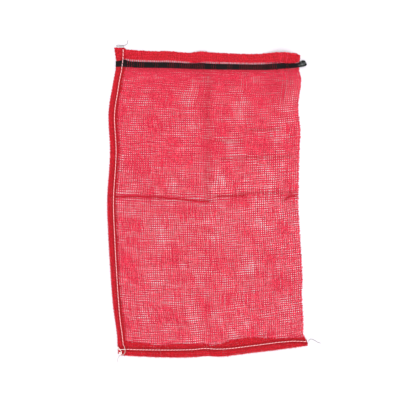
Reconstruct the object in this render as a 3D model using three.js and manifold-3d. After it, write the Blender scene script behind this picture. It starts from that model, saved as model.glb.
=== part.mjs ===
// An empty red mesh bag for onions, lying flat on a surface. One strip of open net is folded at its right
// side, sewn shut down its left side and along its bottom, and hemmed round its mouth. A black draw tape runs
// round the bag below the hem and comes out at the folded side as a short pull loop.
// Millimetres, +Z up. The mouth points to +Y, and the origin lies on the surface under the middle of the bag.
import * as THREE from "three";
import { mergeVertices } from "three/addons/utils/BufferGeometryUtils.js";
import Module from "manifold-3d";

// The bag as it was cut and sewn. Across is measured from the sewn side, along from the bottom edge.
const BAG_WIDTH = 500;
const BAG_LENGTH = 800;
const SIDE_BAND = 26;
const BOTTOM_BAND = 33;
const FOLD_BAND = 2.5;
const HEM_DEPTH = 26;
const TAPE_WIDTH = 13;
const TAPE_BELOW_MOUTH = 29;
const STITCH_LENGTH = 8.2;

// Thicknesses. A ply is one layer of net, with the height that its crossed yarns give it.
const NET_PLY = 1;
const SEAM_RISE = 1.2;
const HEM_RISE = 0.8;
const TAPE_THICK = 0.7;
const TAPE_OFF_SURFACE = 0.2;
const GAP = 0.3;
const BAND_RAMP = 3;
const HEM_RAMP = 2;

// The flat outline as it lies, as [x, y] of a few points along each edge, left to right and bottom to top.
const LEFT_EDGE = [
  [-235, -397], [-239, -340], [-249, -268], [-256, -178], [-261, -90], [-264, 10],
  [-256.5, 130], [-260.5, 232], [-249, 310], [-241, 352], [-240.5, 374], [-245, 406],
];
const RIGHT_EDGE = [
  [263.5, -375], [261, -362], [252, -344], [252, -310], [248, -238], [249.5, -192], [240.5, -38],
  [239, 4], [241.5, 130], [244, 190], [238.5, 251], [246, 318], [240, 352], [244, 386],
];
const BOTTOM_EDGE = [
  [-235, -397], [-205, -402], [-110, -406], [-40, -406], [-3, -402.5], [40, -403.5],
  [125, -393.5], [190, -385.5], [263.5, -375],
];
const TOP_EDGE = [
  [-245, 406], [-220, 405.5], [-205, 400.5], [-140, 396.5], [-105, 397], [-50, 392.5],
  [-18, 395.5], [15, 393], [110, 389], [165, 391.5], [205, 392], [230, 391], [244, 386],
];

// The line that the draw tape lies on, from left to right, and the share of each side edge that is below it.
const TAPE_LINE = [
  [-242, 365], [-224, 364.5], [-190, 361], [-98, 359.8], [-20, 357], [72, 356.2], [164, 355.8],
  [201, 357.5], [227, 360], [241, 362.5],
];
const TAPE_ON_LEFT = 0.949;
const TAPE_ON_RIGHT = 0.967;

// How far in from the edge each line of stitches runs, as [share of the edge, inset].
const SIDE_STITCH_INSET = [
  [0, 18.5], [0.1, 14], [0.25, 16.5], [0.5, 17.5], [0.78, 16.5], [0.9, 15], [0.95, 18], [1, 24],
];
const BOTTOM_STITCH_INSET = [
  [0, 16], [0.2, 19], [0.45, 21], [0.6, 18.5], [0.85, 21.5], [0.93, 18], [1, 10.5],
];
const SIDE_STITCH_RUN = [25, 797];
const BOTTOM_STITCH_RUN = [25, 497];
const STITCH_WIDE = 2;
const STITCH_NARROW = 1.1;
const STITCH_HIGH = 1.3;
const STITCH_LOW = 0.8;

// The slack between the two layers of net: low waves, two storage creases and two gapes of the mouth.
const SLACK_LEAST = 0.6;
const SLACK_FADE = 40;
const WAVE_HEIGHT = 1.6;
const WAVE_ACROSS = 88;
const WAVE_ALONG = 121;
const CREASE_HALF_WIDTH = 10;
const CREASE_ACROSS_BAG = { along: 410, height: 2.4 };
const CREASE_DOWN_BAG = { across: 250, height: 1.4 };
const MOUTH_GAPES = [
  { across: 235, halfWidth: 34, height: 3.8, reach: 100 },
  { across: 446, halfWidth: 52, height: 12, reach: 170 },
];

// The pull loop of the draw tape.
const LOOP_LENGTH = 17;
const LOOP_TURN = THREE.MathUtils.degToRad(18);
const LOOP_FLARE = 1.1;
const LOOP_STEPS = 3;
const LOOP_BEND_STEPS = 6;

// The loose thread ends, as [x, y, z] along each.
const TAIL_DIAMETER = 1.1;
const TAIL_SIDES = 8;
const TAIL_STEP = 2.6;
const TAIL_ROUTES = {
  side_thread_top_tail: [
    [-219, 408.5, 3.4], [-222, 411.5, 1.4], [-228, 412, 0.8], [-235, 411.5, 0.8], [-237, 415, 0.8],
    [-231, 418.5, 0.8], [-222, 418, 0.8], [-213, 415.5, 0.8], [-208.5, 420, 0.8], [-208, 426, 0.8],
  ],
  side_thread_corner_tail: [
    [-217.5, -374.5, 6], [-216.5, -380, 7.6], [-215.5, -386, 7.4], [-215.5, -391, 5.8], [-219, -395.5, 5.4],
    [-226, -399, 5], [-232, -402, 2.6], [-234, -406, 0.8], [-236, -412, 0.8], [-234.5, -420, 0.8],
  ],
  bottom_thread_corner_tail: [
    [-213, -384.4, 5.4], [-219, -384.2, 5.4], [-226, -384.6, 5.4], [-233, -383, 5.4], [-237, -380, 5.4],
    [-238.5, -377.3, 5.4], [-236.6, -376.5, 5.4], [-232, -380.2, 5.4], [-229, -384.6, 7.2],
    [-226, -389, 5.4], [-223.5, -391.4, 5.4],
  ],
  bottom_thread_fold_tail: [
    [265, -363.6, 4.2], [266.5, -360.5, 2.4], [270, -358, 0.8], [276, -358.6, 0.8], [283, -362.6, 0.8],
    [290, -366.6, 0.8], [297, -369, 0.8],
  ],
};

const wasm = await Module();
wasm.setup();

// Outline and surface

// A smooth line through a few [x, y] or [x, y, z] points.
function smoothLine(points) {
  const knots = points.map(([x, y, z = 0]) => new THREE.Vector3(x, y, z));
  return new THREE.CatmullRomCurve3(knots, false, "catmullrom", 0.5);
}

const edges = {
  left: smoothLine(LEFT_EDGE),
  right: smoothLine(RIGHT_EDGE),
  bottom: smoothLine(BOTTOM_EDGE),
  top: smoothLine(TOP_EDGE),
  tape: smoothLine(TAPE_LINE),
};

const TAPE_HIGH = BAG_LENGTH - TAPE_BELOW_MOUTH;
const TAPE_LOW = TAPE_HIGH - TAPE_WIDTH;
const TAPE_MIDDLE = (TAPE_LOW + TAPE_HIGH) / 2;
const HEM_START = BAG_LENGTH - HEM_DEPTH;
const TAPE_ROOM = TAPE_OFF_SURFACE + TAPE_THICK + GAP;

const ramp = (value, start, end) => THREE.MathUtils.clamp((value - start) / (end - start), 0, 1);

// A point between the bottom edge, the tape's line and the mouth, at a share of the way across.
function rowPoint(share, along) {
  const tape = edges.tape.getPointAt(share);
  if (along < TAPE_MIDDLE) return edges.bottom.getPointAt(share).lerp(tape, along / TAPE_MIDDLE);
  return tape.lerp(edges.top.getPointAt(share), ramp(along, TAPE_MIDDLE, BAG_LENGTH));
}

function sidePoint(edge, tapeShare, along) {
  const below = ramp(along, 0, TAPE_MIDDLE);
  const above = ramp(along, TAPE_MIDDLE, BAG_LENGTH);
  return edge.getPointAt(tapeShare * below + (1 - tapeShare) * above);
}

// The place on the flat bag that lies across from the sewn side and along from the bottom, blended from its
// edges and the tape's line. Past the mouth it goes straight on.
function bagPoint(across, along) {
  const u = across / BAG_WIDTH;
  const within = Math.min(along, BAG_LENGTH);
  const left = sidePoint(edges.left, TAPE_ON_LEFT, within).sub(rowPoint(0, within));
  const right = sidePoint(edges.right, TAPE_ON_RIGHT, within).sub(rowPoint(1, within));
  const point = rowPoint(u, within).addScaledVector(left, 1 - u).addScaledVector(right, u);
  point.y += along - within;
  return point;
}

const softRamp = (value, start, end) => THREE.MathUtils.smoothstep(value, start, end);
const crease = (distance) => Math.max(0, 1 - Math.abs(distance) / CREASE_HALF_WIDTH);

// The room that the draw tape's back run takes under the net.
function underside(across, along) {
  const into = ramp(along, TAPE_LOW - BAND_RAMP, TAPE_LOW);
  const outOf = ramp(along, TAPE_HIGH, TAPE_HIGH + BAND_RAMP);
  return TAPE_ROOM * (into - outOf);
}

function gape(across, along) {
  let height = 0;
  for (const mouth of MOUTH_GAPES) {
    const aside = Math.min(1, Math.abs(across - mouth.across) / mouth.halfWidth);
    const arch = Math.cos((aside * Math.PI) / 2) ** 2;
    height += mouth.height * arch * softRamp(along, BAG_LENGTH - mouth.reach, BAG_LENGTH);
  }
  return height;
}

// The height of the pocket between the back layer and the front one.
function slack(across, along) {
  const fromSides = Math.min(across - SIDE_BAND, BAG_WIDTH - across);
  const fade = softRamp(fromSides, 0, SLACK_FADE) * softRamp(along, BOTTOM_BAND, BOTTOM_BAND + SLACK_FADE);
  const fromMouth = 1 - softRamp(along, TAPE_LOW - SLACK_FADE, TAPE_LOW);
  const wave = 0.5 + 0.5 * Math.sin(across / WAVE_ACROSS + along / WAVE_ALONG) * Math.cos(along / WAVE_ALONG);
  const acrossBag = CREASE_ACROSS_BAG.height * crease(along - CREASE_ACROSS_BAG.along);
  const downBag = CREASE_DOWN_BAG.height * crease(across - CREASE_DOWN_BAG.across);
  const folds = Math.max(acrossBag, downBag);
  return SLACK_LEAST + fade * (fromMouth * (WAVE_HEIGHT * wave + folds) + gape(across, along));
}

const backTop = (across, along) => underside(across, along) + NET_PLY;
const frontUnder = (across, along) => backTop(across, along) + slack(across, along);

function frontTop(across, along) {
  const side = 1 - ramp(across, SIDE_BAND, SIDE_BAND + BAND_RAMP);
  const bottom = 1 - ramp(along, BOTTOM_BAND, BOTTOM_BAND + BAND_RAMP);
  const hem = ramp(along, HEM_START, HEM_START + HEM_RAMP);
  const plies = Math.max(SEAM_RISE * Math.max(side, bottom), HEM_RISE * hem);
  return frontUnder(across, along) + NET_PLY + plies;
}

// Solids

// Places from the first mark to the last, about a step apart, with every mark among them.
function stations(marks, step) {
  const places = [marks[0]];
  for (let i = 1; i < marks.length; i++) {
    const span = marks[i] - marks[i - 1];
    const parts = Math.max(1, Math.round(span / step));
    for (let k = 1; k <= parts; k++) places.push(marks[i - 1] + (span * k) / parts);
  }
  return places;
}

// A box whose segments are moved onto a form: place(i, j, top) gives the point of column i and row j.
function formedBox(columns, rows, place) {
  const box = new THREE.BoxGeometry(1, 1, 1, columns - 1, rows - 1, 1);
  const position = box.attributes.position;
  for (let k = 0; k < position.count; k++) {
    const i = Math.round((position.getX(k) + 0.5) * (columns - 1));
    const j = Math.round((position.getY(k) + 0.5) * (rows - 1));
    const point = place(i, j, position.getZ(k) > 0);
    position.setXYZ(k, point.x, point.y, point.z);
  }
  box.deleteAttribute("normal");
  box.deleteAttribute("uv");
  return mergeVertices(box, 1e-3);
}

// A slab of the bag between two surfaces, over the given stations.
function slab(acrossAt, alongAt, lower, upper) {
  return formedBox(acrossAt.length, alongAt.length, (i, j, top) => {
    const point = bagPoint(acrossAt[i], alongAt[j]);
    point.z = (top ? upper : lower)(acrossAt[i], alongAt[j]);
    return point;
  });
}

function solidOf(geometry) {
  return new wasm.Manifold(
    new wasm.Mesh({
      numProp: 3,
      vertProperties: geometry.attributes.position.array,
      triVerts: new Uint32Array(geometry.index.array),
    }),
  );
}

function geometryOf(solid) {
  const mesh = solid.getMesh();
  const geometry = new THREE.BufferGeometry();
  geometry.setAttribute("position", new THREE.BufferAttribute(mesh.vertProperties, 3));
  geometry.setIndex(new THREE.BufferAttribute(mesh.triVerts, 1));
  return geometry;
}

// The net with its hem and its folded seam bands, and the pocket between its layers, open at the mouth.
const GRID_STEP = 30;
const PAST_MOUTH = 12;
const { along: creaseAlong } = CREASE_ACROSS_BAG;
const { across: creaseAcross } = CREASE_DOWN_BAG;
const acrossMarks = [
  0, SIDE_BAND, SIDE_BAND + BAND_RAMP, creaseAcross - CREASE_HALF_WIDTH, creaseAcross,
  creaseAcross + CREASE_HALF_WIDTH, BAG_WIDTH - FOLD_BAND, BAG_WIDTH,
];
const alongMarks = [
  0, BOTTOM_BAND, BOTTOM_BAND + BAND_RAMP, creaseAlong - CREASE_HALF_WIDTH, creaseAlong,
  creaseAlong + CREASE_HALF_WIDTH, TAPE_LOW - BAND_RAMP, TAPE_LOW, TAPE_HIGH, HEM_START,
  HEM_START + HEM_RAMP, BAG_LENGTH,
];
const acrossStations = stations(acrossMarks, GRID_STEP);
const alongStations = stations(alongMarks, GRID_STEP);

function netBag() {
  const inPocket = (value) => value >= SIDE_BAND + BAND_RAMP && value <= BAG_WIDTH - FOLD_BAND;
  const pocketAcross = acrossStations.filter(inPocket);
  const pocketAlong = alongStations.filter((value) => value >= BOTTOM_BAND + BAND_RAMP);
  pocketAlong.push(BAG_LENGTH + PAST_MOUTH);
  const outside = solidOf(slab(acrossStations, alongStations, underside, frontTop));
  const pocket = solidOf(slab(pocketAcross, pocketAlong, backTop, frontUnder));
  return geometryOf(outside.subtract(pocket));
}

// The draw tape: over the front, round the pull loop and back underneath.
function drawTape() {
  const alongAt = [TAPE_LOW, TAPE_MIDDLE, TAPE_HIGH];
  const up = new THREE.Vector3(0, 0, 1);
  const down = new THREE.Vector3(0, 0, -1);
  const loopWay = new THREE.Vector3(Math.cos(LOOP_TURN), Math.sin(LOOP_TURN), 0);
  const loopSide = new THREE.Vector3(-Math.sin(LOOP_TURN), Math.cos(LOOP_TURN), 0);
  const loopStart = bagPoint(BAG_WIDTH, TAPE_MIDDLE);
  const frontHeight = frontTop(BAG_WIDTH, TAPE_MIDDLE) + GAP + TAPE_THICK / 2;
  const backHeight = TAPE_OFF_SURFACE + TAPE_THICK / 2;
  const bendRadius = (frontHeight - backHeight) / 2;

  const run = (height, normal) =>
    acrossStations.map((across) => ({
      normal,
      points: alongAt.map((along) => bagPoint(across, along).setZ(height(across, along))),
    }));
  const loopPlace = (out, height, normal) => ({
    normal,
    points: [-0.5, 0, 0.5].map((share) =>
      loopStart
        .clone()
        .addScaledVector(loopWay, out)
        .addScaledVector(loopSide, share * TAPE_WIDTH * LOOP_FLARE)
        .setZ(height),
    ),
  });

  const front = run((across, along) => frontTop(across, along) + GAP + TAPE_THICK / 2, up);
  const back = run(() => backHeight, down).reverse();
  const outgoing = [];
  const incoming = [];
  for (let k = 1; k <= LOOP_STEPS; k++) {
    const out = (LOOP_LENGTH * k) / LOOP_STEPS;
    outgoing.push(loopPlace(out, frontHeight, up));
    incoming.unshift(loopPlace(out, backHeight, down));
  }
  const bend = [];
  for (let k = 1; k < LOOP_BEND_STEPS; k++) {
    const angle = (Math.PI * k) / LOOP_BEND_STEPS;
    const normal = loopWay.clone().multiplyScalar(Math.sin(angle)).addScaledVector(up, Math.cos(angle));
    const height = backHeight + bendRadius * (1 + Math.cos(angle));
    bend.push(loopPlace(LOOP_LENGTH + bendRadius * Math.sin(angle), height, normal));
  }
  const places = [...front, ...outgoing, ...bend, ...incoming, ...back];
  return formedBox(places.length, alongAt.length, (i, j, top) =>
    places[i].points[j].clone().addScaledVector(places[i].normal, (top ? 0.5 : -0.5) * TAPE_THICK),
  );
}

// A line of stitches: a low strip of thread that swells in each stitch and dips at each needle hole.
function stitchInset(insets, share) {
  const next = Math.max(1, insets.findIndex(([at]) => at >= share));
  const [startAt, start] = insets[next - 1];
  const [endAt, end] = insets[next];
  return THREE.MathUtils.lerp(start, end, ramp(share, startAt, endAt));
}

function threadRest(across, along) {
  const heights = [-1, 0, 1].map((side) => frontTop(across, along + 2 * side * BAND_RAMP));
  const overTape = along > TAPE_LOW - 2 * BAND_RAMP && along < TAPE_HIGH + 2 * BAND_RAMP;
  return Math.max(...heights) + (overTape ? GAP + TAPE_THICK : 0) + GAP;
}

function stitchLine(run, placeAt) {
  const stitches = Math.round((run[1] - run[0]) / STITCH_LENGTH);
  const places = [];
  for (let k = 0; k <= 2 * stitches; k++) {
    const [across, along] = placeAt(run[0] + ((run[1] - run[0]) * k) / (2 * stitches));
    places.push(bagPoint(across, along).setZ(threadRest(across, along)));
  }
  return formedBox(places.length, 2, (i, j, top) => {
    const before = places[Math.max(0, i - 1)];
    const after = places[Math.min(places.length - 1, i + 1)];
    const way = after.clone().sub(before).setZ(0).normalize();
    const full = i % 2 === 1;
    const half = ((full ? STITCH_WIDE : STITCH_NARROW) / 2) * (j ? 1 : -1);
    const rise = top ? (full ? STITCH_HIGH : STITCH_LOW) : 0;
    return places[i].clone().add(new THREE.Vector3(-way.y * half, way.x * half, rise));
  });
}

const sideStitch = (along) => [stitchInset(SIDE_STITCH_INSET, along / BAG_LENGTH), along];
const bottomStitch = (across) => [across, stitchInset(BOTTOM_STITCH_INSET, across / BAG_WIDTH)];

// A loose thread end, a thin round tube along its route.
function threadTail(route) {
  const path = smoothLine(route);
  const section = new THREE.Shape();
  for (let k = 0; k < TAIL_SIDES; k++) {
    const angle = (2 * Math.PI * k) / TAIL_SIDES;
    const point = [(TAIL_DIAMETER / 2) * Math.cos(angle), (TAIL_DIAMETER / 2) * Math.sin(angle)];
    if (k === 0) section.moveTo(...point);
    else section.lineTo(...point);
  }
  section.closePath();
  const steps = Math.round(path.getLength() / TAIL_STEP);
  return new THREE.ExtrudeGeometry(section, { extrudePath: path, steps, bevelEnabled: false });
}

// The bag

function finish(color, roughness) {
  return new THREE.MeshStandardMaterial({ color, roughness, metalness: 0 });
}

const bag = new THREE.Group();

function addPiece(name, geometry, material) {
  const mesh = new THREE.Mesh(geometry, material);
  mesh.name = name;
  bag.add(mesh);
}

addPiece("net_bag", netBag(), finish(0xd8363f, 0.5));
addPiece("draw_tape", drawTape(), finish(0x231114, 0.35));
addPiece("side_seam_thread", stitchLine(SIDE_STITCH_RUN, sideStitch), finish(0xf2e6e2, 0.7));
addPiece("bottom_seam_thread", stitchLine(BOTTOM_STITCH_RUN, bottomStitch), finish(0xf2e6e2, 0.7));
for (const [name, route] of Object.entries(TAIL_ROUTES)) {
  addPiece(name, threadTail(route), finish(0xf0ebe8, 0.7));
}

export default bag;
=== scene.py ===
import math
from dataclasses import dataclass

import bmesh
import bpy
import numpy as np
from mathutils import Matrix, Vector


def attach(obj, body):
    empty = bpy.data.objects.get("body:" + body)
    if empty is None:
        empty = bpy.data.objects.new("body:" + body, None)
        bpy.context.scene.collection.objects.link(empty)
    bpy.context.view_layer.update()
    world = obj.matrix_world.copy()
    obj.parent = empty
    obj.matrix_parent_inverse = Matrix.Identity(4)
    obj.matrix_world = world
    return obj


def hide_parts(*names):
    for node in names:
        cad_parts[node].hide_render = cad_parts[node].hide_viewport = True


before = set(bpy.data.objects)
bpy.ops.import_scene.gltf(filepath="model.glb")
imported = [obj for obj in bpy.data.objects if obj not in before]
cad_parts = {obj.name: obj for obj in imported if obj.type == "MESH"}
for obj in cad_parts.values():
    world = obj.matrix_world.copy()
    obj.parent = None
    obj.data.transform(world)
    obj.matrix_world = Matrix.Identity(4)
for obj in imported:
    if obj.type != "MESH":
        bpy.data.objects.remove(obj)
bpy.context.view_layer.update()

# An empty red mesh bag for onions, lying flat with its mouth towards +Y. It is laid out in millimetres, as it
# was cut and sewn: across is measured from the sewn side, along from the bottom edge. Pieces are in metres.
MM = 0.001

BAG_WIDTH = 500
BAG_LENGTH = 800
SIDE_BAND = 26
BOTTOM_BAND = 42
HEM_DEPTH = 26
TAPE_WIDTH = 13
TAPE_BELOW_MOUTH = 29
STITCH_LENGTH = 8.2

NET_PLY = 1
SEAM_RISE = 1.2
HEM_RISE = 0.8
TAPE_THICK = 0.7
TAPE_OFF_SURFACE = 0.2
GAP = 0.3
BAND_RAMP = 3
HEM_RAMP = 2

TAPE_HIGH = BAG_LENGTH - TAPE_BELOW_MOUTH
TAPE_LOW = TAPE_HIGH - TAPE_WIDTH
TAPE_MIDDLE = (TAPE_LOW + TAPE_HIGH) / 2
HEM_START = BAG_LENGTH - HEM_DEPTH
TAPE_ROOM = TAPE_OFF_SURFACE + TAPE_THICK + GAP

# The flat outline as it lies, as [x, y] of a few points along each edge, left to right and bottom to top.
LEFT_EDGE = [
    [-235, -397], [-239, -340], [-249, -268], [-256, -178], [-261, -90], [-264, 10],
    [-256.5, 130], [-260.5, 232], [-249, 310], [-241, 352], [-240.5, 374], [-245, 406],
]
RIGHT_EDGE = [
    [263.5, -375], [261, -362], [252, -344], [252, -310], [248, -238], [249.5, -192], [240.5, -38],
    [239, 4], [241.5, 130], [244, 190], [238.5, 251], [246, 318], [240, 352], [244, 386],
]
BOTTOM_EDGE = [
    [-235, -397], [-205, -402], [-110, -406], [-40, -406], [-3, -402.5], [40, -403.5],
    [125, -393.5], [190, -385.5], [263.5, -375],
]
TOP_EDGE = [
    [-245, 406], [-220, 405.5], [-205, 400.5], [-140, 396.5], [-105, 397], [-50, 392.5],
    [-18, 395.5], [15, 393], [110, 389], [165, 391.5], [205, 392], [230, 391], [244, 386],
]

# The line that the draw tape lies on, from left to right, and the share of each side edge that is below it.
TAPE_LINE = [
    [-242, 365], [-224, 364.5], [-190, 361], [-98, 359.8], [-20, 357], [72, 356.2], [164, 355.8],
    [201, 357.5], [227, 360], [241, 362.5],
]
TAPE_ON_LEFT = 0.949
TAPE_ON_RIGHT = 0.967

# How far in from the edge each line of stitches runs, as [share of the edge, inset].
SIDE_STITCH_INSET = [
    [0, 19], [0.05, 16.8], [0.1, 16], [0.17, 18.3], [0.37, 18.8], [0.5, 18.5], [0.78, 17.6], [0.845, 18.6],
    [0.9, 17.4], [0.95, 18.2], [1, 25.5],
]
BOTTOM_STITCH_INSET = [
    [0, 16.5], [0.2, 19], [0.35, 20.6], [0.45, 21], [0.54, 20.3], [0.61, 19.3], [0.72, 19.6], [0.85, 20.8],
    [0.93, 18.3], [1, 10.8],
]
SIDE_STITCH_RUN = (25, 797)
BOTTOM_STITCH_RUN = (25, 497)

# The slack between the two layers of net.
SLACK_LEAST = 0.6
SLACK_FADE = 40
WAVE_HEIGHT = 0.5
WAVE_ACROSS = 88
WAVE_ALONG = 121
CREASE_HALF_WIDTH = 10
CREASE_ALONG = 410
CREASE_ALONG_HEIGHT = 1.2
CREASE_ACROSS = 250
CREASE_ACROSS_HEIGHT = 0.8
# Where the mouth gapes: across, half width, height, and how far it reaches down the bag.
MOUTH_GAPES = [(235, 34, 3.8, 100), (446, 52, 12, 170)]

# The loose thread ends, as [x, y, z] along each.
TAIL_DIAMETER = 1.1
TAIL_STEP = 0.6
TAIL_ROUTES = {
    "side_thread_top_tail": [
        [-219, 408.5, 3.4], [-222, 410.2, 1.4], [-229, 410.2, 0.8], [-236, 410, 0.8], [-238.6, 411.6, 0.8],
        [-235, 413, 0.8], [-227, 412.6, 0.8], [-217, 412.6, 0.8], [-211, 415.5, 0.8], [-209.5, 421, 0.8],
        [-208, 426, 0.8],
    ],
    "side_thread_corner_tail": [
        [-217.5, -374.5, 6], [-216.5, -380, 7.6], [-215.5, -386, 7.4], [-215.5, -391, 5.8],
        [-219, -396.5, 5.4], [-226, -400, 5], [-232, -403, 2.6], [-234, -407, 0.8], [-236, -412.5, 0.8],
        [-234.5, -420, 0.8],
    ],
    "bottom_thread_corner_tail": [
        [-213, -384.4, 5.4], [-219, -384.2, 5.4], [-226, -384.6, 5.4], [-233, -383, 5.4], [-237, -380, 5.4],
        [-238.5, -377.3, 5.4], [-236.6, -376.5, 5.4], [-232, -380.2, 5.4], [-229, -384.6, 7.2],
        [-226.4, -388.6, 5.6], [-224.2, -391, 5.4], [-225.5, -392, 5.4], [-230, -392, 5.4],
        [-231.3, -392.85, 5.4], [-230, -393.7, 5.4], [-225.2, -393.7, 5.4], [-223.9, -394.55, 5.4],
        [-225.2, -395.4, 5.4], [-230.4, -395.4, 5.4], [-231.7, -396.25, 5.4], [-230.4, -397.1, 5.4],
        [-225, -397.1, 5.2],
    ],
    "bottom_thread_fold_tail": [
        [265, -363.6, 4.2], [266.5, -360.5, 2.4], [270, -358, 0.8], [276, -358.6, 0.8], [283, -362.6, 0.8],
        [290, -366.6, 0.8], [297, -369, 0.8],
    ],
}

# The camera looks straight down from above.
PHOTO_PIXELS = 400
MM_PER_PIXEL = 2.623
VIEW_CENTRE = (-19.5, 6.8)
LENS = 70
SENSOR = 36


# Lines and the flat bag

def smooth_line(knots, steps=24):
    """Close points along a smooth line through a few knots, and the length reached at each."""
    knots = np.array(knots, float)
    first = 2 * knots[0] - knots[1]
    last = 2 * knots[-1] - knots[-2]
    padded = np.vstack([first, knots, last])
    t = np.linspace(0, 1, steps, endpoint=False)[:, None]
    stretches = []
    for before, start, end, after in zip(padded, padded[1:], padded[2:], padded[3:]):
        bend = 2 * before - 5 * start + 4 * end - after
        turn = 3 * start - before - 3 * end + after
        stretches.append(start + 0.5 * ((end - before) * t + bend * t**2 + turn * t**3))
    points = np.vstack([*stretches, knots[-1:]])
    steps_long = np.linalg.norm(np.diff(points, axis=0), axis=1)
    return points, np.concatenate([[0], np.cumsum(steps_long)])


def point_at(line, share):
    """The points at these shares of a line's length."""
    points, reach = line
    distance = np.asarray(share) * reach[-1]
    return np.stack([np.interp(distance, reach, points[:, k]) for k in range(points.shape[1])], axis=-1)


LEFT_SIDE = smooth_line(LEFT_EDGE)
RIGHT_SIDE = smooth_line(RIGHT_EDGE)
BOTTOM = smooth_line(BOTTOM_EDGE)
MOUTH = smooth_line(TOP_EDGE)
TAPE = smooth_line(TAPE_LINE)


def ramp(value, start, end):
    return np.clip((value - start) / (end - start), 0, 1)


def soft_ramp(value, start, end):
    share = ramp(value, start, end)
    return share * share * (3 - 2 * share)


def near(distance, reach):
    """1 at no distance, and next to nothing past twice the reach."""
    return np.exp(-((distance / reach) ** 2))


def row_point(share, along):
    """Points between the bottom edge, the tape's line and the mouth, at a share of the way across."""
    bottom = point_at(BOTTOM, share)
    tape = point_at(TAPE, share)
    mouth = point_at(MOUTH, share)
    below = ramp(along, 0, TAPE_MIDDLE)[..., None]
    above = ramp(along, TAPE_MIDDLE, BAG_LENGTH)[..., None]
    return bottom + (tape - bottom) * below + (mouth - tape) * above


def side_point(side, tape_share, along):
    below = ramp(along, 0, TAPE_MIDDLE)
    above = ramp(along, TAPE_MIDDLE, BAG_LENGTH)
    return point_at(side, tape_share * below + (1 - tape_share) * above)


def bag_point(across, along):
    """Where places on the flat bag lie, blended from its edges and the tape's line, and on past its edges."""
    share = np.clip(across / BAG_WIDTH, 0, 1)
    within = np.clip(along, 0, BAG_LENGTH)
    past = np.stack([across - share * BAG_WIDTH, along - within], axis=-1)
    left = side_point(LEFT_SIDE, TAPE_ON_LEFT, within) - row_point(np.zeros_like(share), within)
    right = side_point(RIGHT_SIDE, TAPE_ON_RIGHT, within) - row_point(np.ones_like(share), within)
    u = share[..., None]
    return row_point(share, within) + (1 - u) * left + u * right + past


# Heights of the bag

def crease(distance):
    return np.maximum(0, 1 - np.abs(distance) / CREASE_HALF_WIDTH)


def underside(along):
    """The room that the draw tape's back run takes under the net."""
    into = ramp(along, TAPE_LOW - BAND_RAMP, TAPE_LOW)
    out_of = ramp(along, TAPE_HIGH, TAPE_HIGH + BAND_RAMP)
    return TAPE_ROOM * (into - out_of)


def gape(across, along):
    height = 0
    for middle, half_width, rise, reach in MOUTH_GAPES:
        aside = np.minimum(1, np.abs(across - middle) / half_width)
        arch = rise * np.cos(aside * math.pi / 2) ** 2
        height = height + arch * soft_ramp(along, BAG_LENGTH - reach, BAG_LENGTH)
    return height


def slack(across, along):
    """The height of the pocket between the back layer and the front one."""
    from_sides = np.minimum(across - SIDE_BAND, BAG_WIDTH - across)
    fade = soft_ramp(from_sides, 0, SLACK_FADE) * soft_ramp(along, BOTTOM_BAND, BOTTOM_BAND + SLACK_FADE)
    from_mouth = 1 - soft_ramp(along, TAPE_LOW - SLACK_FADE, TAPE_LOW)
    wave = 0.5 + 0.5 * np.sin(across / WAVE_ACROSS + along / WAVE_ALONG) * np.cos(along / WAVE_ALONG)
    across_bag = CREASE_ALONG_HEIGHT * crease(along - CREASE_ALONG)
    down_bag = CREASE_ACROSS_HEIGHT * crease(across - CREASE_ACROSS)
    folds = np.maximum(across_bag, down_bag)
    return SLACK_LEAST + fade * (from_mouth * (WAVE_HEIGHT * wave + folds) + gape(across, along))


def seam_band(across, along):
    side = 1 - ramp(across, SIDE_BAND, SIDE_BAND + BAND_RAMP)
    bottom = 1 - ramp(along, BOTTOM_BAND, BOTTOM_BAND + BAND_RAMP)
    return np.maximum(side, bottom)


def hem_share(along):
    return ramp(along, HEM_START, HEM_START + HEM_RAMP)


def front_under(across, along):
    return underside(along) + NET_PLY + slack(across, along)


def front_top(across, along):
    plies = np.maximum(SEAM_RISE * seam_band(across, along), HEM_RISE * hem_share(along))
    return front_under(across, along) + NET_PLY + plies


def value_at(marks, place):
    """Values at these places, between marks given as [place, value]."""
    places, values = np.transpose(marks)
    return np.interp(place, places, values)


def side_inset(along):
    return value_at(SIDE_STITCH_INSET, along / BAG_LENGTH)


def bottom_inset(across):
    return value_at(BOTTOM_STITCH_INSET, across / BAG_WIDTH)


# How a line of stitches shapes the folded band: drawn down along it, swollen beside it and between stitches.
GROOVE_DEPTH = 0.9
GROOVE_REACH = 2.2
SWELL_HEIGHT = 0.5
SWELL_AWAY = 5.5
SWELL_REACH = 3
PUCKER_HEIGHT = 0.3
PUCKER_REACH = 9
# Where the long storage crease runs through the side band.
BAND_CREASE = 417
BAND_CREASE_DEPTH = 1.1
BAND_CREASE_REACH = 3


def stitch_relief(distance, run, place):
    swell = SWELL_HEIGHT * near(np.abs(distance) - SWELL_AWAY, SWELL_REACH)
    groove = GROOVE_DEPTH * near(distance, GROOVE_REACH)
    beat = np.cos(2 * math.pi * (place - run[0]) / STITCH_LENGTH)
    pucker = PUCKER_HEIGHT * beat * near(distance, PUCKER_REACH)
    return swell - groove - pucker


def seam_relief(across, along):
    side = stitch_relief(across - side_inset(along), SIDE_STITCH_RUN, along)
    bottom = stitch_relief(along - bottom_inset(across), BOTTOM_STITCH_RUN, across)
    return side + bottom - BAND_CREASE_DEPTH * near(along - BAND_CREASE, BAND_CREASE_REACH)


# The plies of net, each by the height of its middle

HALF_PLY = NET_PLY / 2
FRONT_CLOSE = 0.7
HEM_BACK_LIFT = 0.28
HEM_FRONT_LIFT = 0.85
HEM_BACK_HEIGHT = 0.3
INNER_FOLD_HEIGHT = 2.3
OUTER_FOLD_HEIGHT = 3.2
FOLD_OVER_HEM = 0.4
INNER_RELIEF = 0.5


def back_height(across, along):
    return underside(along) + HALF_PLY + HEM_BACK_LIFT * hem_share(along)


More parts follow.
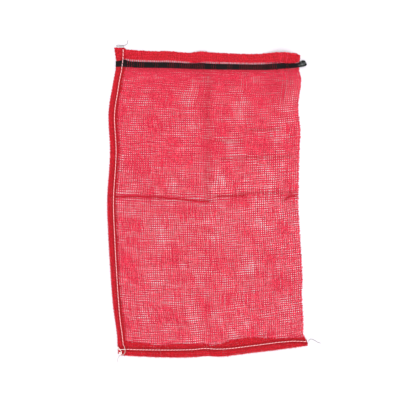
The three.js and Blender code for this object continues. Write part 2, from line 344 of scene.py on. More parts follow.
def front_height(across, along):
    """The front layer lies close on the back one, but for the tape's room near the mouth."""
    below_tape = 1 - ramp(along, TAPE_LOW - SLACK_FADE, TAPE_LOW - BAND_RAMP)
    closed = np.maximum(seam_band(across, along), below_tape)
    return front_under(across, along) + HALF_PLY - FRONT_CLOSE * closed


def hem_front_height(across, along):
    return front_height(across, along) + HEM_FRONT_LIFT


def hem_back_height(across, along):
    return underside(along) + HEM_BACK_HEIGHT


def inner_fold_height(across, along):
    relief = INNER_RELIEF * seam_relief(across, along)
    return INNER_FOLD_HEIGHT + FOLD_OVER_HEM * hem_share(along) + relief


def outer_fold_height(across, along):
    return OUTER_FOLD_HEIGHT + FOLD_OVER_HEM * hem_share(along) + seam_relief(across, along)


@dataclass
class Ply:
    """One layer of net over a stretch of the bag.

    shift is how far in its warps and its wefts start, in pitches, and slip how far the ply has slid across
    and along. side, fold, bottom and mouth are the heights of the plies that it turns into at its folded
    edges. tape is 1 if its upper warps cross the tape, and -1 if its lower ones do. step is how finely its
    yarns bend, if finer than usual, fray how far they stand out at a cut edge, and edge where that edge runs.
    """
    name: str
    across: tuple
    along: tuple
    height: object
    seed: int
    shift: tuple
    side: object = None
    fold: object = None
    bottom: object = None
    mouth: object = None
    tape: int = 0
    step: float = 0
    fray: float = 0
    slip: tuple = (0, 0)
    edge: object = None


WHOLE_WIDTH = (0, BAG_WIDTH)
WHOLE_LENGTH = (0, BAG_LENGTH)
# How far in from the edges the inner plies start, with the outer ones turned round them.
TUCK = 1.2
BOTTOM_TUCK = 4
# Where the folded bands end, how far cut yarns stand out there, and how finely their yarns bend.
SIDE_FOLD_END = 23.5
SIDE_FRAY = 5
BOTTOM_FOLD_END = 33
BOTTOM_FRAY = 3
FINE_STEP = 2
# The row of open mesh above the tape ends where the hem's turned-in ply starts.
OPEN_ROW_INTO_HEM = 2.8
OPEN_ROW_TOP = HEM_START + OPEN_ROW_INTO_HEM
# How far up the cut edge of the bottom fold reaches, as [share of the width, reach].
BOTTOM_FOLD_EDGE = [
    [0, 36], [0.12, 35], [0.17, 31], [0.25, 30.5], [0.35, 37], [0.46, 32], [0.51, 28], [0.55, 32], [0.6, 39],
    [0.7, 41], [0.75, 39], [0.8, 34.5], [0.86, 29.5], [0.91, 27.5], [1, 23],
]


def bottom_fold_edge(across):
    return value_at(BOTTOM_FOLD_EDGE, across / BAG_WIDTH)


NET_FRONT = Ply(
    "net_front", (TUCK, BAG_WIDTH), (BOTTOM_TUCK, BAG_LENGTH), front_height, seed=71, shift=(0, 0),
    side=inner_fold_height, fold=back_height, bottom=inner_fold_height, mouth=hem_front_height, tape=1,
)
NET_BACK = Ply(
    "net_back", WHOLE_WIDTH, WHOLE_LENGTH, back_height, seed=72, shift=(0, 0.42), slip=(0.6, 0),
    side=outer_fold_height, fold=front_height, bottom=outer_fold_height, mouth=hem_back_height, tape=-1,
)
HEM_FRONT = Ply(
    "hem_front", (TUCK, BAG_WIDTH), (OPEN_ROW_TOP, BAG_LENGTH), hem_front_height, seed=13, shift=(0.5, 0.4),
    fold=hem_back_height, mouth=front_height,
)
HEM_BACK = Ply(
    "hem_back", WHOLE_WIDTH, (OPEN_ROW_TOP, BAG_LENGTH), hem_back_height, seed=14, shift=(0.3, 0.7),
    fold=hem_front_height, mouth=back_height,
)
SIDE_INNER = Ply(
    "side_fold_inner", (TUCK, SIDE_FOLD_END), (BOTTOM_TUCK, BAG_LENGTH), inner_fold_height, seed=15,
    shift=(0.4, 0.3), side=front_height, step=FINE_STEP, fray=SIDE_FRAY,
)
SIDE_OUTER = Ply(
    "side_fold_outer", (0, SIDE_FOLD_END), WHOLE_LENGTH, outer_fold_height, seed=16, shift=(0.7, 0.6),
    side=back_height, step=FINE_STEP, fray=SIDE_FRAY,
)
BOTTOM_INNER = Ply(
    "bottom_fold_inner", (TUCK, BAG_WIDTH), (BOTTOM_TUCK, BOTTOM_FOLD_END), inner_fold_height, seed=17,
    shift=(0.5, 0.2), fold=outer_fold_height, bottom=front_height, step=FINE_STEP, fray=BOTTOM_FRAY,
    edge=bottom_fold_edge,
)
BOTTOM_OUTER = Ply(
    "bottom_fold_outer", WHOLE_WIDTH, (0, BOTTOM_FOLD_END), outer_fold_height, seed=18, shift=(0, 0.42),
    fold=inner_fold_height, bottom=back_height, step=FINE_STEP, fray=BOTTOM_FRAY, edge=bottom_fold_edge,
)


def rolled(height, partner, distance):
    """A ply's height near a folded edge, where it turns round to meet its partner."""
    middle = (height + partner) / 2
    radius = np.abs(height - partner) / 2
    to_edge = 1 - np.clip(distance / radius, 0, 1)
    return middle + (height - middle) * np.sqrt(1 - to_edge**2)


def ply_height(ply, across, along):
    height = ply.height(across, along)
    turns = [
        (ply.side, across - ply.across[0]),
        (ply.fold, ply.across[1] - across),
        (ply.bottom, along - ply.along[0]),
        (ply.mouth, ply.along[1] - along),
    ]
    for partner, distance in turns:
        if partner:
            height = rolled(height, partner(across, along), np.maximum(distance, 0))
    return height


# The leno net: flat wefts across the bag, held by pairs of warps that cross over between them

WARP_PITCH = 5.45
WEFT_PITCH = 5.8
WEFT_WIDTH = 2.05
WARP_WIDTH = 1.95
WARP_SWING = 0.5
WARP_LIFT = 0.3
YARN_THICK = 0.3
# A yarn's section: three corners, as shares of its width and of its thickness.
SECTION_WIDE = np.array([-0.5, 0.5, 0])
SECTION_HIGH = np.array([-0.5, -0.5, 0.5])
# How uneven the wefts' widths and the yarns' places are, and how narrow warps twist in the open row.
WEFT_WIDTHS = (0.92, 1.08)
JITTER = 0.12
TWISTED_WIDTH = 0.72
# From where on, and by how much, the wefts lie closer towards the tape.
ROWS_CLOSE_FROM = 690
ROWS_CLOSE = 0.42
# Where yarns bend: along a weft, near their ends, before the tape's edges and on it, and below the hem.
WEFT_STEP = 17.5
EDGE_STEPS = (0.3, 0.8, 1.6, 3)
BEFORE_TAPE = 1.2
ONTO_TAPE = 0.6
BELOW_HEM = 0.6
# The warps on the tape: how high and wide they lie, the waves by which they show, as (span, phase), the range
# in which they fade in, and the least share that shows.
TAPE_LIFT = 1.75
WARP_OVER_TAPE = 0.17
TAPE_PATCHES = ((6.3, 2.8), (29, 1))
TAPE_PATCH_FADE = (-1.2, 0.8)
TAPE_SHOWS_LEAST = 0.2
# How flat and wide the yarns lie along the bag, as [share of its length, share of their width].
YARN_SPREAD = [
    [0, 0.96], [0.12, 0.92], [0.24, 0.93], [0.34, 0.94], [0.46, 0.89], [0.58, 0.94], [0.66, 1.08],
    [0.74, 1.13], [0.81, 1.06], [0.87, 1.17], [1, 1.17],
]
# How far the yarns stray from their own lines, over what length, and how much further just below the tape.
WEFT_STRAY = 0.42
WARP_STRAY = 0.45
STRAY_SPAN = 18
STRAY_MORE = 1.1
STRAY_MORE_FROM = 712
# Seeds of the random draws, added to a ply's own seed where the plies differ.
ROW_SEED = 100
WEFT_SEED = 200
COLUMN_SEED = 300
STRAY_SEED = 400
CREASE_SEED = 500
FRAYED_SEED = 600
WARP_END_SEED = 700

# Storage creases, where the net is pressed into a narrow fold and its yarns lie side by side: places along
# each, as [across, along], and how many yarns show in it.
CREASES = [
    ([[4, 417], [26, 417], [60, 419], [128, 420], [164, 417], [201, 415], [237, 410], [269, 409]], 6),
    ([[287, 423], [320, 422], [360, 420]], 3),
    ([[462, 401], [475, 410], [498, 408]], 3),
]
CREASE_FADE = 12
# Soft folds across the bag, as [across, along], and one down its upper half, as [along, across].
SOFT_FOLDS = [
    [[300, 522], [364, 523], [422, 521], [475, 519]],
    [[345, 428], [400, 426], [450, 424], [490, 419]],
    [[370, 596], [440, 595]],
    [[275, 568], [345, 566]],
]
MIDDLE_FOLD = [[413, 263], [518, 260], [624, 261], [756, 252]]
# How much of the way the net is drawn towards each crease and fold, and from how far off.
CREASE_DRAW = (0.5, 7)
SOFT_DRAW = (0.56, 8)
MIDDLE_DRAW = (0.3, 16)


def from_crease(knots, place, aside):
    """How far places are from a crease, and 1 beside it, fading to 0 past its ends."""
    start = soft_ramp(place, knots[0][0] - CREASE_FADE, knots[0][0])
    end = soft_ramp(place, knots[-1][0], knots[-1][0] + CREASE_FADE)
    return aside - value_at(knots, place), start - end


def drawn(knots, place, aside, draw, reach):
    away, beside = from_crease(knots, place, aside)
    return draw * beside * away * near(away, reach)


def gather(across, along):
    """Moves the net towards its creases and folds, where its yarns lie closer."""
    for knots, _ in CREASES:
        along = along - drawn(knots, across, along, *CREASE_DRAW)
    for knots in SOFT_FOLDS:
        along = along - drawn(knots, across, along, *SOFT_DRAW)
    return across - drawn(MIDDLE_FOLD, along, across, *MIDDLE_DRAW), along


# Where shade is painted on the net: beside the stitches, outwards and inwards, and below the tape.
STITCH_SHADE_AWAY = 3.6
STITCH_SHADE_OUT = 2.4
SIDE_SHADE_IN = 1.8
BOTTOM_SHADE_IN = 3.6
TAPE_SHADE = 0.5
TAPE_SHADE_REACH = 10
# How strong the painted shade is in each crease and fold, and how far from it.
CREASE_SHADE = (1, 3.4)
SOFT_SHADE = (0.6, 5)
MIDDLE_SHADE = (0.3, 11)


def beside_stitches(distance, reach_in):
    reach = np.where(distance > 0, reach_in, STITCH_SHADE_OUT)
    return near(np.abs(distance) - STITCH_SHADE_AWAY, reach)


def shade_near(knots, place, aside, shade_strength, reach):
    away, beside = from_crease(knots, place, aside)
    return shade_strength * beside * near(away, reach)


def painted_shade(across, along):
    """How much shade is painted on the net, from 0 to 1."""
    side = beside_stitches(across - side_inset(along), SIDE_SHADE_IN)
    bottom = beside_stitches(along - bottom_inset(across), BOTTOM_SHADE_IN)
    below_tape = near(np.maximum(TAPE_LOW - along, 0), TAPE_SHADE_REACH)
    share = np.maximum(np.maximum(side, bottom), np.where(along < TAPE_HIGH, TAPE_SHADE * below_tape, 0))
    for knots, _ in CREASES:
        share = np.maximum(share, shade_near(knots, across, along, *CREASE_SHADE))
    for knots in SOFT_FOLDS:
        share = np.maximum(share, shade_near(knots, across, along, *SOFT_SHADE))
    return np.maximum(share, shade_near(MIDDLE_FOLD, along, across, *MIDDLE_SHADE))


DRIFT_WAVES = 10
DRIFT_SPAN = (30, 130)
DRIFT_STEEPNESS = 0.0056
DRIFT_FADE = 30


def drift(ply, across, along):
    """Moves the net in its own plane, in long and short waves over the bag."""
    rng = np.random.default_rng(ply.seed)
    fade = soft_ramp(np.minimum(across, BAG_WIDTH - across), 0, DRIFT_FADE) * soft_ramp(along, 0, DRIFT_FADE)
    fade = fade * (1 - soft_ramp(along, TAPE_LOW - DRIFT_FADE, TAPE_LOW))
    moved_across = across + ply.slip[0] * fade
    moved_along = along + ply.slip[1] * fade
    for span in np.geomspace(*DRIFT_SPAN, DRIFT_WAVES):
        heading, phase, way = rng.uniform(0, 2 * math.pi, 3)
        wave = np.sin((across * math.cos(heading) + along * math.sin(heading)) * 2 * math.pi / span + phase)
        size = DRIFT_STEEPNESS * span * fade
        moved_across = moved_across + size * wave * math.cos(way)
        moved_along = moved_along + size * wave * math.sin(way)
    return moved_across, moved_along


# Where the hem hangs lower and covers the open row: across from and to, and how far.
HEM_SAGS = [(196, 238, 3), (446, 500, 4.4)]
HEM_SAG_FADE = 14
MOUTH_CRUMPLE = 0.3
CRUMPLE_SPANS = (8, 11, 17, 27)


def crumples(place):
    return sum(np.sin(place * 2 * math.pi / span + span) for span in CRUMPLE_SPANS)


def hem_wander(across, along):
    """How far the hem sags over the row of open mesh above the tape, and how its mouth is crumpled."""
    depth = 0
    for start, end, most in HEM_SAGS:
        inside = soft_ramp(across, start, start + HEM_SAG_FADE) - soft_ramp(across, end - HEM_SAG_FADE, end)
        depth = depth + most * inside
    up_the_hem = ramp(along, OPEN_ROW_TOP, BAG_LENGTH)
    sag = depth * soft_ramp(along, TAPE_HIGH, OPEN_ROW_TOP) * (1 - up_the_hem)
    return MOUTH_CRUMPLE * crumples(across) * up_the_hem - sag


SCALLOP = 2
SCALLOP_REACH = 10
CRUMPLE_SIZE = 0.4
CRUMPLE_REACH = 8


def edge_wander(across, along):
    """How far the side edges stray: the sewn one is drawn in at each stitch, the folded one is crumpled."""
    between_stitches = np.abs(np.sin(math.pi * (along - SIDE_STITCH_RUN[0]) / STITCH_LENGTH))
    scallop = SCALLOP * (1 - between_stitches) * np.exp(-np.maximum(across, 0) / SCALLOP_REACH)
    from_fold = np.maximum(BAG_WIDTH - across, 0)
    return scallop + CRUMPLE_SIZE * crumples(along) * np.exp(-from_fold / CRUMPLE_REACH)


def row_pitch(along):
    """The distance between wefts, which lie closer towards the draw tape and in the hem."""
    return WEFT_PITCH * (1 - ROWS_CLOSE * soft_ramp(along, ROWS_CLOSE_FROM, TAPE_LOW))


def weft_rows(ply):
    """Where the wefts lie along the bag, with none in the tape's place or in the open row above it."""
    low, high = ply.along
    half = WEFT_WIDTH / 2
    rows = [ply.shift[1] * WEFT_PITCH]
    while rows[-1] < BAG_LENGTH:
        rows.append(rows[-1] + row_pitch(rows[-1]))
    rows = np.array(rows)
    if ply.tape:
        rows = rows[(rows < TAPE_LOW - half) | (rows > OPEN_ROW_TOP + half)]
    rng = np.random.default_rng(ply.seed + ROW_SEED)
    rows = rows + rng.normal(0, JITTER, rows.size)
    return rows[(rows > low + half) & (rows < high - half)]


def spread(along):
    return value_at(YARN_SPREAD, along / BAG_LENGTH)


def edge_stations(low, high, inner):
    steps = np.array(EDGE_STEPS)
    inner = inner[(inner > low + steps[-1]) & (inner < high - steps[-1])]
    return np.sort(np.concatenate([[low], low + steps, inner, high - steps, [high]]))


def strays(rng, size, yarns, stations):
    """How far each yarn strays sideways from its own line, at stations along it."""
    knots = np.arange(stations[0], stations[-1] + STRAY_SPAN, STRAY_SPAN)
    away = rng.normal(0, size, (yarns, knots.size))
    return np.array([np.interp(stations, knots, yarn) for yarn in away])


def unevenness(along):
    """How much further the yarns stray at these places along the bag."""
    return 1 + STRAY_MORE * soft_ramp(along, STRAY_MORE_FROM, TAPE_LOW) * (along < TAPE_LOW)


# What the corners of yarns are given as.
ACROSS = 0
ALONG = 1
LIFT = 2


def yarn_rings(across, along, lift, width, wide_way):
    """Rings of three corners round yarns, from their middle lines and the way in which they are wide."""
    middle = np.stack(np.broadcast_arrays(across, along, lift), axis=-1)
    rings = np.repeat(middle[..., None, :], SECTION_WIDE.size, axis=-2)
    rings[..., wide_way] += np.asarray(width)[..., None] * SECTION_WIDE
    rings[..., LIFT] += YARN_THICK * SECTION_HIGH
    return rings


def wefts(ply):
    """The yarns that run across the bag."""
    rows = weft_rows(ply)
    low, high = ply.across
    stations = edge_stations(low, high, np.arange(low, high, ply.step or WEFT_STEP))
    rng = np.random.default_rng(ply.seed + WEFT_SEED)
    width = WEFT_WIDTH * spread(rows) * rng.uniform(*WEFT_WIDTHS, rows.size)
    middle = rows[:, None] + unevenness(rows)[:, None] * strays(rng, WEFT_STRAY, rows.size, stations)
    rings = yarn_rings(stations, middle, 0, width[:, None], ALONG)
    if high < BAG_WIDTH:
        rings[:, -1, :, ACROSS] += ply.fray * rng.random((rows.size, 1))
    return rings


def warp_stations(ply):
    """Where the warps bend along the bag, which side they are on there, and whether they cross the tape."""
    rows = weft_rows(ply)
    bends = np.concatenate([rows, np.arange(*ply.along, ply.step)]) if ply.step else rows
    stations = edge_stations(*ply.along, np.sort(bends))
    if ply.tape:
        near_tape = [
            TAPE_LOW - BEFORE_TAPE, TAPE_LOW + ONTO_TAPE, TAPE_HIGH - ONTO_TAPE, TAPE_HIGH + BEFORE_TAPE,
            OPEN_ROW_TOP - BELOW_HEM,
        ]
        stations = np.sort(np.concatenate([stations, near_tape]))
    over_tape = (stations > TAPE_LOW) & (stations < TAPE_HIGH) & (ply.tape != 0)
    sides = np.where(np.arange(rows.size) % 2 == 0, 1.0, -1.0)
    return stations, np.interp(stations, rows, sides), over_tape


def shows_on_tape(columns):
    """How much of each warp shows on the tape, and 0 for those that run behind it."""
    waves = sum(np.sin(columns / span + phase) for span, phase in TAPE_PATCHES)
    share = soft_ramp(waves, *TAPE_PATCH_FADE)
    return np.where((share > TAPE_SHOWS_LEAST) & (columns > SIDE_BAND + BAND_RAMP), share, 0)


def warps(ply, way):
    """The upper warp of each pair, where way is 1, or the lower one, where it is -1."""
    stations, swing, over_tape = warp_stations(ply)
    low, high = ply.across
    columns = (np.arange(BAG_WIDTH // WARP_PITCH + 2) + ply.shift[0]) * WARP_PITCH
    columns = columns + np.random.default_rng(COLUMN_SEED).normal(0, JITTER, columns.size)
    reach = WARP_SWING + WARP_WIDTH / 2
    columns = columns[(columns > low + reach) & (columns < high - reach)]
    shows = shows_on_tape(columns)[:, None] if way == ply.tape else np.zeros((columns.size, 1))
    over = over_tape * (shows > 0)
    lift = way * (WARP_LIFT + (TAPE_LIFT - WARP_LIFT) * over)
    stray = strays(np.random.default_rng(ply.seed + STRAY_SEED), WARP_STRAY, columns.size, stations)
    stray = stray * unevenness(stations) * (1 - over_tape)
    middle = columns[:, None] + way * WARP_SWING * swing[None, :] + stray
    in_open_row = (stations > TAPE_HIGH) & (stations < OPEN_ROW_TOP) & (ply.tape != 0)
    width = WARP_WIDTH * spread(stations) * np.where(in_open_row, TWISTED_WIDTH, 1)
    width = width * (1 - (1 - WARP_OVER_TAPE * shows) * over)
    rings = yarn_rings(middle, stations, lift, width, ACROSS)
    if high == BAG_WIDTH and ply.along[1] < BAG_LENGTH:
        ends = np.random.default_rng(ply.seed + WARP_END_SEED).random((columns.size, 1))
        rings[:, -1, :, ALONG] += ply.fray * ends
    return rings


def yarn_faces(yarns, stations, first):
    """The sides and the two ends of yarns that have three corners at each station."""
    corner = first + np.arange(yarns * stations * 3).reshape(yarns, stations, 3)
    after = np.roll(corner, -1, axis=2)
    sides = np.stack([corner[:, :-1], after[:, :-1], after[:, 1:], corner[:, 1:]], axis=-1)
    ends = np.concatenate([corner[:, 0, ::-1], corner[:, -1]])
    return sides.reshape(-1, 4).tolist() + ends.tolist()


# How low a yarn may lie, and the share of its height that it keeps where the floor holds it up.
LOWEST = 0.05
KEPT_HEIGHT = 0.5


def lay_on_bag(ply, rings):
    """Yarn corners on the bag as it lies."""
    across, along = drift(ply, rings[..., ACROSS], rings[..., ALONG])
    across, along = gather(across, along)
    place = bag_point(across + edge_wander(across, along), along + hem_wander(across, along))
    lift = rings[..., LIFT]
    height = ply_height(ply, across, along) + lift
    height = np.maximum(height, LOWEST + KEPT_HEIGHT * (lift - lift.min()))
    return np.concatenate([place, height[..., None]], axis=-1).reshape(-1, 3) * MM


def add_object(name, data, material):
    piece = bpy.data.objects.new(name, data)
    bpy.context.collection.objects.link(piece)
    data.materials.append(material)
    return piece


def finished_mesh(name, bm):
    mesh = bpy.data.meshes.new(name)
    bm.to_mesh(mesh)
    bm.free()
    return mesh


def point_outwards(mesh):
    bm = bmesh.new()
    bm.from_mesh(mesh)
    bmesh.ops.recalc_face_normals(bm, faces=bm.faces)
    bm.to_mesh(mesh)
    bm.free()


def map_flat(mesh):
    """A map of the bag from above, which the finish is painted on."""
    places = np.empty(len(mesh.vertices) * 3, np.float32)
    mesh.vertices.foreach_get("co", places)
    flat = places.reshape(-1, 3)[:, :2]
    low = flat.min(axis=0)
    flat = (flat - low) / (flat.max(axis=0) - low)
    corners = np.empty(len(mesh.loops), np.int32)
    mesh.loops.foreach_get("vertex_index", corners)
    layer = mesh.uv_layers.new(name="OFBake")
    layer.data.foreach_set("uv", flat[corners].ravel())


def add_yarns(name, ply, sets_of_rings, material):
    """One piece made of all these yarns, laid on the bag as part of a ply."""
    places = []
    shades = []
    faces = []
    count = 0
    for rings in sets_of_rings:
        places.append(lay_on_bag(ply, rings))
        shades.append(painted_shade(rings[..., ACROSS], rings[..., ALONG]).ravel())
        faces += yarn_faces(*rings.shape[:2], count)
        count += places[-1].shape[0]
    mesh = bpy.data.meshes.new(name)
    mesh.from_pydata(np.vstack(places), [], faces)
    point_outwards(mesh)
    map_flat(mesh)
    # Each corner's painted shade, by which the finish darkens the yarn's colour.
    mesh.attributes.new("painted_shade", "FLOAT", "POINT").data.foreach_set("value", np.concatenate(shades))
    piece = add_object(name, mesh, material)
    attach(piece, "root")
    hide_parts("net_bag")
    return piece


def add_ply(ply, material):
    sets_of_rings = [wefts(ply), warps(ply, 1), warps(ply, -1)]
    if ply.edge:
        for rings in sets_of_rings:
            rings[..., ALONG] *= ply.edge(rings[..., ACROSS]) / ply.along[1]
    return add_yarns(ply.name, ply, sets_of_rings, material)


# The yarns that show in the storage creases

CREASE_PITCH = 1.3
CREASE_YARN = 1.5
CREASE_LIFT = 0.8
CREASE_STEP = 3
CREASE_STRAY = 0.35


def crease_rings(knots, yarns, rng):
    stations = np.arange(knots[0][0], knots[-1][0], CREASE_STEP)
    aside = (np.arange(yarns) - (yarns - 1) / 2) * CREASE_PITCH
    middle = value_at(knots, stations) + aside[:, None] + strays(rng, CREASE_STRAY, yarns, stations)
    return yarn_rings(stations, middle, CREASE_LIFT, CREASE_YARN, ALONG)


def add_creases(material):
    rng = np.random.default_rng(CREASE_SEED)
    rings = [crease_rings(knots, yarns, rng) for knots, yarns in CREASES]
    return add_yarns("storage_creases", NET_FRONT, rings, material)


# Cut ends of yarn that stand out along the bottom edge

FRAYED_ENDS = 150
FRAYED_REACH = (0.8, 3)
FRAYED_WIDTH = 0.9
FRAYED_LEAN = 1.2
FRAYED_ROOT = 2
FRAYED_TAPER = 0.6
FRAYED_FROM_CORNER = 2


def add_frayed_ends(material):
    rng = np.random.default_rng(FRAYED_SEED)
    root = np.sort(rng.uniform(FRAYED_FROM_CORNER, BAG_WIDTH - FRAYED_FROM_CORNER, FRAYED_ENDS))
    reach = rng.uniform(*FRAYED_REACH, FRAYED_ENDS)
    lean = rng.normal(0, FRAYED_LEAN, FRAYED_ENDS)
    share = np.array([0, 0.5, 1])
    across = root[:, None] + lean[:, None] * share**2
    along = FRAYED_ROOT - (FRAYED_ROOT + reach[:, None]) * share
    rings = yarn_rings(across, along, 0, FRAYED_WIDTH * (1 - FRAYED_TAPER * share), ACROSS)
    return add_yarns("bottom_frayed_ends", NET_BACK, [rings], material)


# The draw tape: over the front, round the pull loop and back underneath

LOOP_LENGTH = 17
LOOP_TURN = math.radians(18)
# How much the loop's end slants and how much its corners are rounded, as shares of its length.
LOOP_SKEW = 0.12
LOOP_ROUND = 0.08
# How far the tape is spread, as [share of the bag's width or the loop's length, share of the tape's width].
# Its upper and its lower edge differ at the ends of the front and back runs.
UPPER_SPREAD = [[0, 0.6], [0.025, 0.8], [0.045, 1.38], [0.085, 1.12], [0.9, 1.1], [0.94, 0.95], [1, 1.05]]
LOWER_SPREAD = [[0, 1.5], [0.05, 1.35], [0.085, 1.12], [0.9, 1.1], [0.94, 0.88], [1, 1.02]]
LOOP_SPREAD = [[0, 1.05], [0.35, 1.2], [0.9, 1.25], [1, 1.08]]
# The stretch of x in which the tape goes over from plain black to painted grey highlights, towards the loop.
LOOP_HIGHLIGHT = (234, 248)
LOOP_STEPS = 8
LOOP_BEND_STEPS = 6
TAPE_RIBS = 6
ROWS_IN_A_RIB = 4
TAPE_ROWS = ROWS_IN_A_RIB * TAPE_RIBS
TAPE_SHARES = np.linspace(-0.5, 0.5, TAPE_ROWS + 1)
RIB_HEIGHT = 0.12
TAPE_BODY = 0.4
TAPE_STEP = 4
TAPE_AT_FOLD = (np.array(float(BAG_WIDTH)), np.array(TAPE_MIDDLE))


def tape_rest(across, along):
    """The height of the tape's middle on the front of the bag."""
    return front_top(across, along) + GAP + TAPE_THICK / 2


def tape_run(height):
    """Points of one straight run, with the tape's width in rows."""
    across = np.arange(0, BAG_WIDTH + TAPE_STEP / 2, TAPE_STEP)
    across, share = np.meshgrid(across, TAPE_SHARES, indexing="ij")
    upper = value_at(UPPER_SPREAD, across / BAG_WIDTH)
    lower = value_at(LOWER_SPREAD, across / BAG_WIDTH)
    along = TAPE_MIDDLE + share * TAPE_WIDTH * np.where(share > 0, upper, lower)
    place = bag_point(across, along)
    return np.concatenate([place, height(across, along)[..., None]], axis=-1)


def tape_loop(front, back):
    """Points of the pull loop, out along the front height, round and in along the back height."""
    start = bag_point(*TAPE_AT_FOLD)
    out_way = np.array([math.cos(LOOP_TURN), math.sin(LOOP_TURN)])
    side_way = np.array([-math.sin(LOOP_TURN), math.cos(LOOP_TURN)])
    radius = (front - back) / 2
    outs = [(LOOP_LENGTH * k / LOOP_STEPS, front) for k in range(1, LOOP_STEPS + 1)]
    bend = []
    for k in range(1, LOOP_BEND_STEPS):
        angle = math.pi * k / LOOP_BEND_STEPS
        bend.append((LOOP_LENGTH + radius * math.sin(angle), back + radius * (1 + math.cos(angle))))
    ins = [(out, back) for out, _ in reversed(outs)]
    share = TAPE_SHARES[:, None]
    reach = 1 - LOOP_SKEW * share - LOOP_ROUND * (2 * share) ** 4
    rows = []
    for out, height in outs + bend + ins:
        width = TAPE_WIDTH * value_at(LOOP_SPREAD, out / LOOP_LENGTH)
        place = start + out * reach * out_way + share * width * side_way
        rows.append(np.concatenate([place, np.full((TAPE_ROWS + 1, 1), height)], axis=-1))
    return np.array(rows)


def add_draw_tape(material):
    back_level = TAPE_OFF_SURFACE + TAPE_THICK / 2
    front = tape_run(tape_rest)
    loop = tape_loop(float(tape_rest(*TAPE_AT_FOLD)), back_level)
    back = tape_run(lambda across, along: np.full_like(across, back_level))
    places = np.concatenate([front, loop, back[::-1]])
    places[..., 2] += RIB_HEIGHT * np.cos(np.linspace(0, 2 * math.pi * TAPE_RIBS, TAPE_ROWS + 1))
    stations = places.shape[0]

    bm = bmesh.new()
    bmesh.ops.create_grid(bm, x_segments=stations - 1, y_segments=TAPE_ROWS, size=1)
    for vert in bm.verts:
        i = round((vert.co.x + 1) / 2 * (stations - 1))
        j = round((vert.co.y + 1) / 2 * TAPE_ROWS)
        vert.co = places[i, j] * MM
    bmesh.ops.solidify(bm, geom=bm.faces[:], thickness=TAPE_BODY * MM)
    bmesh.ops.recalc_face_normals(bm, faces=bm.faces)
    mesh = finished_mesh("black_draw_tape", bm)
    mesh.shade_smooth()
    out_right = np.array([vert.co.x for vert in mesh.vertices]) / MM
    # Grey highlights are painted on the tape from here out to the loop.
    painted_highlight = soft_ramp(out_right, *LOOP_HIGHLIGHT)
    mesh.attributes.new("painted_highlight", "FLOAT", "POINT").data.foreach_set("value", painted_highlight)
    piece = add_object("black_draw_tape", mesh, material)
    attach(piece, "root")
    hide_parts("draw_tape")


# The seams' stitches

THREAD_DIAMETER = 1.5
THREAD_SIDES = 6
# One stitch, as its share of the stitch length, its height and its share of the thread's full diameter.
STITCH_FORM = [
    (0.06, -1, 0.7), (0.13, -0.2, 0.95), (0.3, 0.2, 1), (0.5, 0.3, 1), (0.7, 0.2, 1), (0.87, -0.2, 0.95),
    (0.94, -1, 0.7),
]
# How far a stitch turns out of the seam's line, in radians, and how deep it lies in the band.
STITCH_SLANT = 0.13
THREAD_SINK = 0.05
# How far before and past the tape the stitches rise over it.
THREAD_CLEAR = 2 * BAND_RAMP


def thread_rest(across, along):
    """The height of the seam that the stitches lie on."""
    heights = [front_top(across, along + side * THREAD_CLEAR) for side in (-1, 0, 1)]
    over_tape = (along > TAPE_LOW - THREAD_CLEAR) & (along < TAPE_HIGH + THREAD_CLEAR)
    return np.maximum.reduce(heights) + np.where(over_tape, GAP + TAPE_THICK, 0) - THREAD_SINK


def stitch(bm):
    """One stitch along +X from the origin: a round thread that comes up, runs level and goes down again."""
    upright = Matrix.Rotation(math.pi / 2, 4, "Y")
    ring = bmesh.ops.create_circle(
        bm, cap_ends=True, segments=THREAD_SIDES, radius=THREAD_DIAMETER / 2, matrix=upright,
    )["verts"]
    edges = bm.edges[:]
    share, height, size = STITCH_FORM[0]
    bmesh.ops.scale(bm, vec=(size, size, size), verts=ring)
    bmesh.ops.translate(bm, vec=(share * STITCH_LENGTH, 0, height), verts=ring)
    for (share, height, size), (next_share, next_height, next_size) in zip(STITCH_FORM, STITCH_FORM[1:]):
        grown = bmesh.ops.extrude_edge_only(bm, edges=edges)["geom"]
        ring = [item for item in grown if isinstance(item, bmesh.types.BMVert)]
        edges = [item for item in grown if isinstance(item, bmesh.types.BMEdge)]
        edges = [edge for edge in edges if all(vert in ring for vert in edge.verts)]
        growth = next_size / size
        centre = Matrix.Translation((-share * STITCH_LENGTH, 0, -height))
        bmesh.ops.scale(bm, vec=(growth, growth, growth), space=centre, verts=ring)
        step = (next_share - share) * STITCH_LENGTH
        bmesh.ops.translate(bm, vec=(step, 0, next_height - height), verts=ring)
    bmesh.ops.edgeloop_fill(bm, edges=edges)
    bmesh.ops.rotate(bm, verts=bm.verts, matrix=Matrix.Rotation(STITCH_SLANT, 3, "Z"))
    bmesh.ops.recalc_face_normals(bm, faces=bm.faces)


def stitch_places(run, place_at):
    count = round((run[1] - run[0]) / STITCH_LENGTH)
    across, along = place_at(np.linspace(*run, count + 1))
    flat = bag_point(across, along)
    return np.concatenate([flat, thread_rest(across, along)[:, None]], axis=1)


def add_seam(name, node, run, place_at, material):
    places = stitch_places(run, place_at)
    one = bmesh.new()
    stitch(one)
    pattern = finished_mesh(name + "_stitch", one)
    seam = bmesh.new()
    for start, end in zip(places, places[1:]):
        before = len(seam.verts)
        seam.from_mesh(pattern)
        seam.verts.ensure_lookup_table()
        way = Vector(end - start)
        turn = way.to_track_quat("X", "Z").to_matrix().to_4x4()
        stretch = Matrix.Scale(way.length / STITCH_LENGTH, 4, (1, 0, 0))
        place = Matrix.Translation(Vector(start)) @ turn @ stretch
        bmesh.ops.transform(seam, matrix=place, verts=seam.verts[before:])
    bmesh.ops.scale(seam, vec=(MM, MM, MM), verts=seam.verts)
    bpy.data.meshes.remove(pattern)
    mesh = finished_mesh(name, seam)
    mesh.shade_smooth()
    piece = add_object(name, mesh, material)
    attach(piece, "root")
    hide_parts(node)


